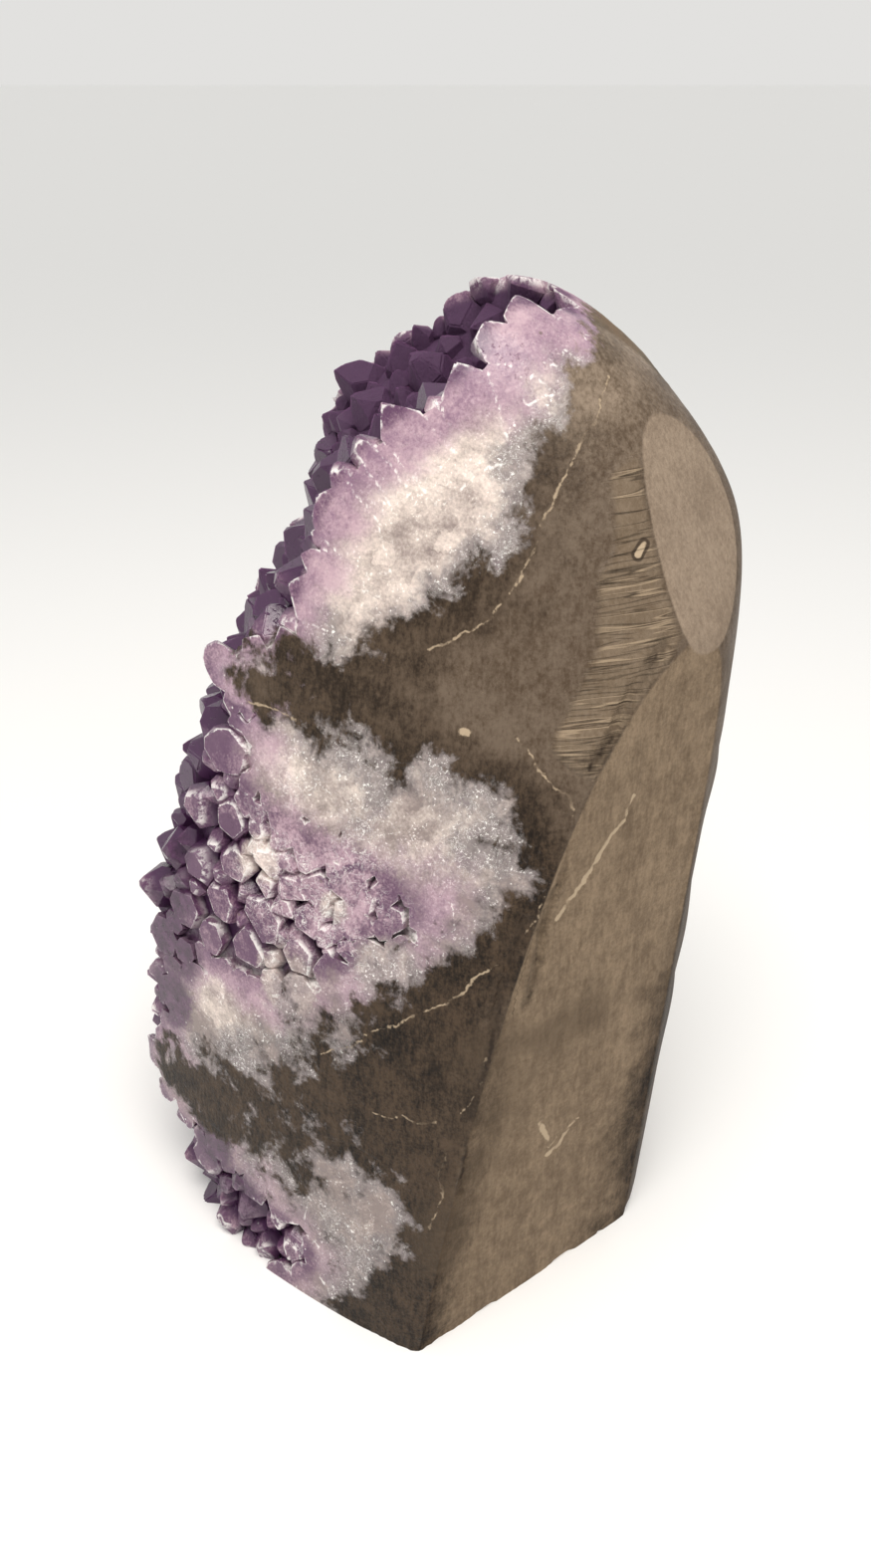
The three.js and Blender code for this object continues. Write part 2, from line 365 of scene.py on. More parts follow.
def relief(points):
    """Depth in millimetres that is taken off the smooth stone at each point."""
    side_flat = smooth_step(flat_step(points, SIDE_FLAT), -0.1, 0.5)
    shoulder = smooth_step(flat_step(points, SHOULDER_FLAT), -0.1, 0.5)
    worn = 0.5 + 0.5 * smooth_noise(points, 13.0, 1.0)
    grain = 0.5 + 0.5 * smooth_noise(points, 1.6, 2.0)
    upright = 0.5 + 0.5 * smooth_noise(points * [1, 1, 0.12], 3.0, 5.0)
    depth = side_flat * (0.35 * worn + 0.14 * grain + 0.25 * upright)
    depth += shoulder * 0.05 * grain
    bubbles = smooth_step(smooth_noise(points, 3.6, 6.5), 0.3, 0.8)
    lumps = 0.5 + 0.35 * smooth_noise(points, 9.0, 6.0) + 0.15 * smooth_noise(points, 3.8, 6.2)
    bare = on_back(points) * (1 - 0.8 * smooth_step(points[:, 2], 165, 190))
    depth += bare * (2.0 * lumps + 0.3 * grain + 0.9 * bubbles)
    depth += saw_band(points) * saw_depth(points)
    crack = distance_from_lines(points, FISSURES) + 0.4 * smooth_noise(points, 3.0, 7.0)
    broken = 0.5 + 0.5 * smooth_noise(points, 7.0, 7.5)
    depth += CRACK_DEPTH * broken * (1 - smooth_step(crack, 0.3, 1.1))
    chips = smooth_noise(points, 6.0, 8.0) + 0.3 * smooth_noise(points, 2.0, 9.0)
    low = 1 - smooth_step(points[:, 2], 0.3, CHIPPED_UP_TO)
    depth += CHIP_DEPTH * smooth_step(chips, -0.1, 0.6) * low
    return depth


print("taken off along the first crack:", relief(lay_on_stone(FISSURES[0])).round(1), "mm")

# %% The fine stone
FINENESS = 8
BEYOND = 220.0


def keep_under(heights, ceiling, soft=2.0):
    """Rounds off whatever would rise past the ceiling."""
    over = heights - (ceiling - soft)
    return np.where(over > 0, ceiling - soft * np.exp(-np.maximum(over, 0) / soft), heights)


def make_stone():
    ball = bmesh.new()
    bmesh.ops.create_icosphere(ball, subdivisions=FINENESS, radius=1.0)
    mesh = bpy.data.meshes.new("ground_stone")
    ball.to_mesh(mesh)
    ball.free()
    rays = np.empty(len(mesh.vertices) * 3)
    mesh.vertices.foreach_get("co", rays)
    rays = rays.reshape(-1, 3)
    rays /= np.linalg.norm(rays, axis=1)[:, None]
    surface = find_surface(HEART, rays, np.zeros(len(rays)), np.full(len(rays), BEYOND))
    lumps = back_lumps(rays)
    surface = surface + rays * (np.minimum(lumps, 0.8 * lumps) - relief(surface))[:, None]
    surface[:, 2] = keep_under(surface[:, 2], cad_high[2] / MM)
    mesh.vertices.foreach_set("co", (surface * MM).ravel())
    stone = bpy.data.objects.new("ground_stone", mesh)
    bpy.context.scene.collection.objects.link(stone)
    return stone


stone = make_stone()
print("fine stone:", len(stone.data.polygons), "triangles")

# %% [markdown]
# ## Joining and cutting
#
# Whole solids are easier to reason about than loose skins: rock is the stone behind
# the boundary, crust is the stone in front of it. The manifold solver joins and cuts
# closed meshes of this size in a second.

# %% Boolean helper
def combine(piece, other, operation, keep_other=False):
    """Joins, cuts or intersects piece with other, and leaves piece as the result."""
    step = piece.modifiers.new("combine", "BOOLEAN")
    step.object = other
    step.operation = operation
    step.solver = "MANIFOLD"
    graph = bpy.context.evaluated_depsgraph_get()
    old = piece.data
    piece.data = bpy.data.meshes.new_from_object(piece.evaluated_get(graph))
    piece.modifiers.clear()
    bpy.data.meshes.remove(old)
    if not keep_other:
        bpy.data.objects.remove(other)
    return piece


def add_solid(name, points, faces):
    mesh = bpy.data.meshes.new(name)
    mesh.from_pydata((np.asarray(points) * MM).tolist(), [], [list(face) for face in faces])
    solid = bpy.data.objects.new(name, mesh)
    bpy.context.scene.collection.objects.link(solid)
    return solid


def copy_of(thing, name):
    twin = bpy.data.objects.new(name, thing.data.copy())
    bpy.context.scene.collection.objects.link(twin)
    return twin


under_base = add_solid(
    "under_base",
    [(x, y, z) for x in (-150, 150) for y in (-150, 150) for z in (-60, 0)],
    [(0, 1, 3, 2), (4, 6, 7, 5), (0, 4, 5, 1), (2, 3, 7, 6), (0, 2, 6, 4), (1, 5, 7, 3)],
)
combine(stone, under_base, "DIFFERENCE")
print("with its base sawn:", len(stone.data.polygons), "faces")

# %% [markdown]
# ## Two curved boundaries inside the stone
#
# The quartz does not meet the rock in a flat sheet. It bulges into old gas bubbles,
# and between them the rock runs forward in lobes that the polished side shows in
# section. Both this boundary and the floor that the crystals root in are height
# fields: for each x and z they give one y, from a line up the middle and a few
# swells. A line is a list of heights with a y for each. A swell is its middle's x
# and z, its half widths in x and z, and its push.

# %% Boundary lines and swells
ROCK_LINE = np.array([
    (-5, -20), (8, -26), (20, -36), (35, -41), (50, -39), (65, -33), (80, -25), (110, -14),
    (135, -8), (155, 4), (175, 20), (190, 32), (205, 38),
], float)
ROCK_SWELLS = [
    (46, 108, 17, 26, 42), (48, 72, 16, 18, 17), (52, 34, 15, 25, 43), (24, 162, 24, 12, 7),
    (14, 136, 12, 10, -24), (14, 36, 13, 13, -16), (-44, 60, 24, 20, 30),
    (-46, 128, 24, 18, 26), (-40, 94, 20, 9, -12),
]
DRUSE_LINE = np.array([
    (-5, -47), (25, -51), (50, -54), (75, -54), (90, -49), (108, -40), (120, -36), (130, -29),
    (140, -22), (150, -17.5), (165, -12), (176, -5), (185, 8), (195, 14), (205, 20),
], float)
DRUSE_SWELLS = [
    (44, 101, 21, 24, 49), (36, 76, 18, 14, 26), (-8, 187, 13, 17, 26), (-44, 168, 14, 9, -4),
    (46, 12, 19, 22, 30), (-40, 70, 22, 26, 24), (21, 90, 11, 24, 6),
    (33, 79, 12, 9, -6), (4, 194, 6, 5, -5),
]
THINNEST_CRUST = 3.5


def follow_line(line, height):
    """A smooth curve through hand-set points, read at the given heights."""
    knots, values = line.T
    slopes = np.empty(len(knots))
    slopes[1:-1] = (values[2:] - values[:-2]) / (knots[2:] - knots[:-2])
    slopes[0] = (values[1] - values[0]) / (knots[1] - knots[0])
    slopes[-1] = (values[-1] - values[-2]) / (knots[-1] - knots[-2])
    height = np.clip(height, knots[0], knots[-1])
    i = np.clip(np.searchsorted(knots, height) - 1, 0, len(knots) - 2)
    span = knots[i + 1] - knots[i]
    t = (height - knots[i]) / span
    low = (2 * t**3 - 3 * t**2 + 1) * values[i] + (t**3 - 2 * t**2 + t) * span * slopes[i]
    return low + (3 * t**2 - 2 * t**3) * values[i + 1] + (t**3 - t**2) * span * slopes[i + 1]


def boundary(line, swells, x, z):
    x = x + BASE_CENTRE[0]
    y = follow_line(line, z)
    for middle_x, middle_z, wide, high, push in swells:
        y = y + push * np.exp(-(((x - middle_x) / wide) ** 2) - ((z - middle_z) / high) ** 2)
    return y - BASE_CENTRE[1]


def rock_front(x, z):
    return boundary(ROCK_LINE, ROCK_SWELLS, x, z)


def druse_floor(x, z):
    free = boundary(DRUSE_LINE, DRUSE_SWELLS, x, z)
    return np.minimum(free, rock_front(x, z) - THINNEST_CRUST)


heights = np.array([30.0, 90.0, 150.0])
thickness = rock_front(0, heights) - druse_floor(0, heights)
print("crust up the middle:", thickness.round(0), "mm thick")

# %% Distances from a boundary
def outward(sheet, x, z):
    """Unit directions that leave a boundary towards the open front."""
    step = 0.5
    across = (sheet(x + step, z) - sheet(x - step, z)) / (2 * step)
    up = (sheet(x, z + step) - sheet(x, z - step)) / (2 * step)
    out = np.stack([across, -np.ones_like(across), up], -1)
    return out / np.linalg.norm(out, axis=-1)[..., None]


def out_of(sheet, points):
    """Millimetres that points stand in front of a boundary, measured square to it."""
    x, y, z = points.T
    return (sheet(x, z) - y) * -outward(sheet, x, z)[:, 1]


print("the heart lies", -out_of(rock_front, HEART[None])[0].round(1), "mm inside the rock")

# %% Everything behind a boundary, as a closed block
GRID = 3.0


def solid_behind(name, sheet):
    xs = np.arange(-90, 90.1, GRID)
    zs = np.arange(-14, 212.1, GRID)
    grid_x, grid_z = np.meshgrid(xs, zs)
    front = np.stack([grid_x, sheet(grid_x, grid_z), grid_z], -1).reshape(-1, 3)
    back = front * [1, 0, 1] + [0, 150, 0]
    wide, high = len(xs), len(zs)
    shift = wide * high
    cells = [r * wide + c for r in range(high - 1) for c in range(wide - 1)]
    faces = [(a, a + 1, a + 1 + wide, a + wide) for a in cells]
    faces += [(shift + a + 1, shift + a, shift + a + wide, shift + a + 1 + wide) for a in cells]
    top = (high - 1) * wide
    for c in range(wide - 1):
        faces.append((c + 1, c, shift + c, shift + c + 1))
        faces.append((top + c, top + c + 1, shift + top + c + 1, shift + top + c))
    for r in range(high - 1):
        left, right = r * wide, r * wide + wide - 1
        faces.append((left, left + wide, shift + left + wide, shift + left))
        faces.append((right + wide, right, shift + right, shift + right + wide))
    faces = [half for a, b, c, d in faces for half in ((a, b, c), (a, c, d))]
    return add_solid(name, np.concatenate([front, back]), faces)


behind_rock_front = solid_behind("behind_rock_front", rock_front)
rock = copy_of(stone, "polished_basalt")
combine(rock, behind_rock_front, "INTERSECT", keep_other=True)
print("rock:", len(rock.data.polygons), "faces")

# %% [markdown]
# ## One amethyst crystal
#
# Quartz grows as a six-sided prism under a point of six faces, three of them larger
# than the others. Every face is a plane that was pushed outwards at its own speed.
# A cone would be quicker to make, but its faces are all alike. So a prism is cut by
# six slanting planes at slightly different heights, and its edges get a narrow
# bevel: in a handled piece they are bruised and catch the light. The faces carry a
# mark for worn edges, which stays with them through all later joins.

# %% Crystal patterns
POINT_TILT = 51.8
PRISM_LENGTH = 6
PATTERNS = 20
random = np.random.default_rng(41)


def cut_off(crystal, place, normal):
    whole = list(crystal.verts) + list(crystal.edges) + list(crystal.faces)
    cut = bmesh.ops.bisect_plane(
        crystal, geom=whole, plane_co=place, plane_no=normal, clear_outer=True)
    rim = [piece for piece in cut["geom_cut"] if isinstance(piece, bmesh.types.BMEdge)]
    bmesh.ops.contextual_create(crystal, geom=rim)


def crystal_pattern():
    """Points, faces and worn-edge marks of a crystal one unit in radius."""
    crystal = bmesh.new()
    bmesh.ops.create_cone(
        crystal, cap_ends=True, segments=6, radius1=1, radius2=1, depth=PRISM_LENGTH)
    height = random.uniform(0.95, 1.35)
    for face in range(6):
        bearing = math.radians(60 * face + random.uniform(-6, 6))
        tilt = math.radians(90 - POINT_TILT + random.uniform(-6, 8))
        level = math.cos(tilt)
        normal = (math.cos(bearing) * level, math.sin(bearing) * level, math.sin(tilt))
        late = random.uniform(0.05, 0.4) if face % 2 else random.uniform(-0.1, 0.12)
        cut_off(crystal, (0, 0, height + late), normal)
    blunt = (random.uniform(-0.35, 0.35), random.uniform(-0.35, 0.35), 1)
    cut_off(crystal, (0, 0, height * random.uniform(0.84, 1.1)), blunt)
    foot = 0.1 - PRISM_LENGTH / 2
    upper = [edge for edge in crystal.edges if min(v.co.z for v in edge.verts) > foot]
    worn = bmesh.ops.bevel(
        crystal, geom=upper, offset=random.uniform(0.06, 0.12), segments=2, affect="EDGES",
        clamp_overlap=True)
    worn = set(worn["faces"])
    crystal.verts.index_update()
    points = np.array([v.co for v in crystal.verts])
    faces = [[v.index for v in face.verts] for face in crystal.faces]
    marks = [1.0 if face in worn else 0.0 for face in crystal.faces]
    crystal.free()
    return points, faces, marks


patterns = [crystal_pattern() for _ in range(PATTERNS)]
print(PATTERNS, "patterns, the first with", len(patterns[0][1]), "faces")

# %% [markdown]
# ## The druse
#
# Druse is a skin of crystals that crowd each other out: large points first, then
# smaller ones wherever there is room. Scattering works the same way. Seeds fall on
# the floor at random, and each is kept if it is not too near another. The largest
# grow to about a centimetre across; in the side pocket they stay finer.

# %% Scatter crystals over the druse floor
LARGE = (9.0, 5.8)
SMALL = (4.8, 3.2)
POCKET = lay_on_stone([(312, 882)])[0]
POCKET_REACH = 16.0
POCKET_FINER = 0.4


def in_pocket(points):
    """1 in the middle of the side pocket, fading to 0 around it."""
    return np.exp(-((points - POCKET) ** 2).sum(1) / POCKET_REACH**2)


def scatter(places, spacings, tries, widest, closest):
    """Adds seeds on the druse floor, wide apart at first and closer as it fills up."""
    x = random.uniform(-66, 66, tries)
    z = random.uniform(-2, 203, tries)
    seeds = np.stack([x, druse_floor(x, z), z], 1)
    seeds = seeds[past_stone(seeds) < 1.0]
    finer = 1 - POCKET_FINER * in_pocket(seeds)
    for count, seed in enumerate(seeds):
        spacing = (widest + (closest - widest) * count / len(seeds)) * finer[count]
        gap = np.linalg.norm(places - seed, axis=1)
        if np.all(gap > (spacings + spacing) / 2):
            places = np.vstack([places, seed])
            spacings = np.append(spacings, spacing)
    return places, spacings


places, spacings = scatter(np.empty((0, 3)), np.empty(0), 5000, *LARGE)
print(len(places), "large crystals")
places, spacings = scatter(places, spacings * 0.8, 9000, *SMALL)
print(len(places), "with the small ones")

# %% Grow the crystals
LEAN = 22
RADIUS = 0.7
POCKET_WIDER = 0.35
POCKET_RISE = 1.6
LOW_RISE = 1.3


def rise_from_floor(places):
    """Millimetres by which crystals stand higher, in the side pocket and low on the front."""
    return POCKET_RISE * in_pocket(places) + LOW_RISE * smooth_step(places[:, 2], 155, 115)


def lean_to(points, axis):
    """Turns upright points so that their +Z runs along axis."""
    side = np.cross([0.31, 0.52, 0.79], axis)
    side /= np.linalg.norm(side)
    return points @ np.stack([side, np.cross(axis, side), axis])


def grow(place, axis, spacing, rise, crowding):
    points, faces, marks = patterns[random.integers(PATTERNS)]
    turn = random.uniform(0, 2 * math.pi)
    c, s = math.cos(turn), math.sin(turn)
    spin = np.array([[c, s, 0], [-s, c, 0], [0, 0, 1]])
    lean = math.radians(LEAN) * math.sqrt(random.uniform())
    side = np.cross(random.normal(size=3), axis)
    axis = axis + side / np.linalg.norm(side) * math.tan(lean)
    axis /= np.linalg.norm(axis)
    squash = [random.uniform(0.86, 1.14), 1, random.uniform(0.85, 1.15)]
    radius = spacing * (RADIUS + POCKET_WIDER * crowding)
    solid = lean_to((points * squash) @ spin * radius, axis) + place + axis * rise
    return solid, faces, marks


axes = outward(druse_floor, places[:, 0], places[:, 2])
seeds = zip(places, axes, spacings, rise_from_floor(places), in_pocket(places))
crystals = [grow(*seed) for seed in seeds]
widths = 2 * RADIUS * spacings
print("the largest is", widths.max().round(1), "mm wide, the smallest", widths.min().round(1))

# %% [markdown]
# A closed mesh may not run through itself, so overlapping crystals can't go into
# the solver together. They are dealt into batches in which none touches another,
# and the batches are joined one after the other. Besides the worn edges, every
# crystal's faces carry a random shade, because no two points have the same colour.

# %% Batches of crystals that do not touch
def deal_into_batches(crystals):
    middles = np.array([(points.min(0) + points.max(0)) / 2 for points, _, _ in crystals])
    reaches = np.array([np.linalg.norm(c[0] - m, axis=1).max() for c, m in zip(crystals, middles)])
    batches = []
    for i in range(len(crystals)):
        for batch in batches:
            gaps = np.linalg.norm(middles[batch] - middles[i], axis=1)
            if np.all(gaps > reaches[batch] + reaches[i]):
                batch.append(i)
                break
        else:
            batches.append([i])
    return batches


def store(piece, name, values, domain="POINT"):
    values = np.asarray(values, np.float32)
    kind, key = ("FLOAT_VECTOR", "vector") if values.ndim == 2 else ("FLOAT", "value")
    layer = piece.data.attributes.new(name, kind, domain)
    layer.data.foreach_set(key, values.ravel())


def solid_of_batch(batch):
    points, faces, marks, shades = [], [], [], []
    for i in batch:
        corners, sides, worn = crystals[i]
        start = sum(len(p) for p in points)
        points.append(corners)
        faces += [[start + corner for corner in side] for side in sides]
        marks += worn
        shades += [random.uniform(0.2, 1.0)] * len(sides)
    solid = add_solid("batch", np.concatenate(points), faces)
    store(solid, "worn_edge", marks, "FACE")
    store(solid, "crystal_shade", shades, "FACE")
    solid.data.polygons.foreach_set("material_index", np.ones(len(faces), np.int32))
    return solid


batches = deal_into_batches(crystals)
print(len(batches), "batches, the first with", len(batches[0]), "crystals")

# %% Join the crystals with the lining
def corner_points(piece):
    points = np.empty(len(piece.data.vertices) * 3)
    piece.data.vertices.foreach_get("co", points)
    return points.reshape(-1, 3) / MM


def blunt_at_box(piece):
    """Moves the few corners that stand out of the frame's box back onto its sides."""
    points = np.clip(corner_points(piece), cad_low / MM, cad_high / MM)
    piece.data.vertices.foreach_set("co", (points * MM).ravel())


crust = solid_behind("amethyst_druse", druse_floor)
combine(crust, stone, "INTERSECT", keep_other=True)
for batch in batches:
    combine(crust, solid_of_batch(batch), "UNION")
combine(crust, stone, "INTERSECT")
combine(crust, behind_rock_front, "DIFFERENCE")
blunt_at_box(crust)
for piece in (rock, crust):
    piece.data.calc_loop_triangles()
    print(piece.name, "has", len(piece.data.loop_triangles), "triangles")

# %% [markdown]
# ## Telling the finish where it is
#
# Colour follows the layers: how far a point lies from the rock and how far out of
# the druse floor it stands. Both are plain distances, so each corner of the mesh
# carries them as numbers, and the finish reads them. Quartz is built of columns that
# all grew away from the floor. To draw those, each corner also carries the place on
# the floor that lies square below it: a pattern laid on those places comes out as
# columns. The marks are stored as steps from the nearest line, which stay exact
# between the corners. Where a real stone leaves the rule, soft spots push the
# boundary, deepen the violet or keep the quartz white. A spot is a picture point
# and its reach in millimetres; the milky ones also say how far they push.

# %% Spots laid one by one
MILKY_SPOTS = [
    ((250, 1035), 14, 4.5), ((490, 800), 13, 4), ((562, 880), 12, -5), ((492, 962), 11, -5),
    ((410, 1022), 9, -3),
]
# Deep spots darken the violet low on the left front: partly the crystals' own deep colour, partly
# painted shade of the side that faces away from the light.
DEEP_VIOLET_AND_SHADE_SPOTS = [
    ((170, 840), 7), ((165, 890), 8), ((175, 945), 8), ((172, 1000), 7), ((215, 1150), 6),
    ((238, 1200), 7),
]
FROSTED_SPOTS = [
    ((258, 862), 5), ((335, 912), 3), ((290, 990), 8), ((220, 1010), 6), ((390, 975), 7),
]


def near_spot(points, pixel, reach):
    """1 at the middle of a spot, fading to 0 around it."""
    return np.exp(-((points - lay_on_stone([pixel])[0]) ** 2).sum(1) / reach**2)


def near_spots(points, spots):
    return np.max([near_spot(points, *spot) for spot in spots], axis=0)


def seen_depth(points):
    """Depth into the rock, less where the quartz is seen to spread further."""
    depth = -out_of(rock_front, points)
    for pixel, reach, spread in MILKY_SPOTS:
        depth = depth - spread * near_spot(points, pixel, reach)
    return depth


print("spots:", len(MILKY_SPOTS), "milky,", len(DEEP_VIOLET_AND_SHADE_SPOTS), "deep,", len(FROSTED_SPOTS), "frosted")

# %% Corner values
SHARP_ANGLE = 38
FIBRE_STRETCH = 0.2


def rim_of_section(piece):
    """1 at corners that a crystal's own faces share with the polished section."""
    kinds = np.empty(len(piece.data.polygons), np.int32)
    sides = np.empty(len(kinds), np.int32)
    corners = np.empty(len(piece.data.loops), np.int32)
    piece.data.polygons.foreach_get("material_index", kinds)
    piece.data.polygons.foreach_get("loop_total", sides)
    piece.data.loops.foreach_get("vertex_index", corners)
    touched = np.zeros((len(piece.data.vertices), 2))
    touched[corners, np.repeat(np.minimum(kinds, 1), sides)] = 1
    return touched.min(1)


def measure(piece):
    points = corner_points(piece)
    x, _, z = points.T
    out = out_of(druse_floor, points)
    facing = outward(druse_floor, x, z)
    root = points - facing * out[:, None]
    layers = {
        "into_rock": seen_depth(points),
        "out_of_floor": out,
        "below_polish": -past_stone(points),
        "height": z,
        "on_back": on_back(points),
        "in_pocket": in_pocket(points),
        "deep": near_spots(points, DEEP_VIOLET_AND_SHADE_SPOTS),
        "frosted": near_spots(points, FROSTED_SPOTS),
        "root_place": root * MM,
        "fibre_place": (root + FIBRE_STRETCH * facing * out[:, None]) * MM,
        "side_step": flat_step(points, SIDE_FLAT),
        "shoulder_step": flat_step(points, SHOULDER_FLAT),
        "rim": rim_of_section(piece),
        "saw_band": saw_band(points),
        "saw_place": along_grooves(points) * MM,
        "pale_vein": offset_from_lines(points, PALE_VEINS),
        "thick_vein": offset_from_lines(points, THICK_VEINS + PALE_CHIPS),
        "fissure": offset_from_lines(points, FISSURES),
        "stain": offset_from_lines(points, STAINS),
        "pebble": offset_from_lines(points, PEBBLE),
    }
    for name, values in layers.items():
        store(piece, name, values)


for piece in (rock, crust):
    measure(piece)
    piece.data.shade_smooth()
    piece.data.set_sharp_from_angle(angle=math.radians(SHARP_ANGLE))
    piece.modifiers.new("flat_faces", "WEIGHTED_NORMAL").keep_sharp = True
    print(piece.name, "carries", len(piece.data.attributes), "layers of values")

# %% [markdown]
# ## Writing finishes as sums
#
# A finish is a formula: take this colour where that distance is small, otherwise
# the other one. Written as node after node the formula gets lost, so one small
# class wraps a socket and lets Python's own signs build the Math nodes.

# %% A socket that does sums
class Wire:
    def __init__(self, socket):
        self.socket = socket

    @staticmethod
    def add(tree, kind, settings=None, values=None, output=0):
        """Adds one node with its settings and inputs, and wraps one of its outputs."""
        node = tree.nodes.new(kind)
        for name, setting in (settings or {}).items():
            setattr(node, name, setting)
        for key, value in (values or {}).items():
            if isinstance(value, Wire):
                tree.links.new(value.socket, node.inputs[key])
            else:
                node.inputs[key].default_value = value
        return Wire(node.outputs[output])

    def more(self, kind, settings=None, values=None, output=0):
        return Wire.add(self.socket.id_data, kind, settings, values, output)

    def sum(self, operation, first, second):
        return self.more("ShaderNodeMath", {"operation": operation}, {0: first, 1: second})

    def __add__(self, other):
        return self.sum("ADD", self, other)

    def __sub__(self, other):
        return self.sum("SUBTRACT", self, other)

    def __mul__(self, other):
        return self.sum("MULTIPLY", self, other)

    def __rsub__(self, other):
        return self.sum("SUBTRACT", other, self)

    __radd__ = __add__
    __rmul__ = __mul__

    def ramp(self, start, end, low=0.0, high=1.0):
        """Goes smoothly from low to high as the value goes from start to end."""
        return self.more(
            "ShaderNodeMapRange", {"interpolation_type": "SMOOTHSTEP"},
            {"Value": self, "From Min": start, "From Max": end, "To Min": low, "To Max": high},
        )

    def near(self, middle, reach):
        """1 where the value is middle, fading to 0 at reach from it."""
        away = self.more("ShaderNodeMath", {"operation": "ABSOLUTE"}, {0: self - middle})
        return away.ramp(reach, 0.0)

    def stir(self, noise, reach):
        """Pushes the value up and down by half of reach, where a noise is high or low."""
        return self + (noise - 0.5) * reach

    def mix(self, low, high):
        """The colour low where this is 0, and high where it is 1."""
        return self.more("ShaderNodeMix", {"data_type": "RGBA"}, {0: self, 6: low, 7: high}, 2)

    def vector(self, operation, other=None, output=0):
        values = {0: self} if other is None else {0: self, 1: other}
        return self.more("ShaderNodeVectorMath", {"operation": operation}, values, output)

    def length(self):
        return self.vector("LENGTH", output=1)

    def noise(self, size, detail=3.0, roughness=0.55, distortion=0.0, output=0):
        """Cloudy values from 0 to 1 with features about size millimetres wide."""
        values = {"Vector": self, "Scale": 1000 / size, "Detail": detail}
        values |= {"Roughness": roughness, "Distortion": distortion}
        return self.more("ShaderNodeTexNoise", None, values, output)

    def cells(self, size, output="Distance"):
        """Cells about size millimetres wide: how far from the middle, or a colour for each."""
        values = {"Vector": self, "Scale": 1000 / size}
        return self.more("ShaderNodeTexVoronoi", None, values, output)

    def tone(self, size):
        """One random value from 0 to 1 for each of the cells."""
        return self.cells(size, "Color").vector("DOT_PRODUCT", (0.4, 0.3, 0.3), 1)

    def wander(self, size, reach):
        """A random step of up to reach, in every direction, that changes with the place."""
        centred = self.noise(size, 2.0, output="Color").vector("SUBTRACT", (0.5, 0.5, 0.5))
        return centred.vector("MULTIPLY", (2 * reach, 2 * reach, 2 * reach))


def paint(red, green, blue):
    """A colour as read off a screen, turned into the light that a shader wants."""
    levels = [c / 255 for c in (red, green, blue)]
    return [*(c / 12.92 if c <= 0.04045 else ((c + 0.055) / 1.055) ** 2.4 for c in levels), 1.0]


def grey(level):
    return (level, level, level, 1.0)


print("mid grey as light:", round(paint(128, 128, 128)[0], 3))

# %% [markdown]
# ## One finish for the whole section
#
# The polish runs across rock and quartz alike, and the boundary between them is
# ragged: dark fingers reach into the quartz. If each piece had only its own finish,
# that boundary would be a clean cut. So both pieces share one finish. It holds a
# quartz shader and a duller rock shader, mixed by the distance from the boundary, and
# the ragged edge may fall a few millimetres to either side of the real joint.

# %% Polished quartz
MILK = paint(246, 231, 220)
MILK_SHADE = paint(136, 122, 118)
# SPARKLE white is partly white grains and frosted rims, partly painted glints.
SPARKLE = paint(255, 252, 248)
PIT = paint(110, 94, 86)
FRINGE = paint(112, 104, 106)
LAVENDER = paint(190, 160, 172)
MAUVE = paint(130, 96, 124)
MAUVE_DEEP = paint(84, 48, 82)
VIOLET_BLACK = paint(48, 22, 48)
LINING_VIOLET_AND_SHADE = paint(70, 40, 72)


def specks(place, size, reach, share):
    """Dots up to reach cells wide, on a random share of the cells."""
    near = place.cells(size).ramp(reach, reach * 0.5)
    return near * place.tone(size).ramp(1 - share - 0.06, 1 - share + 0.06)


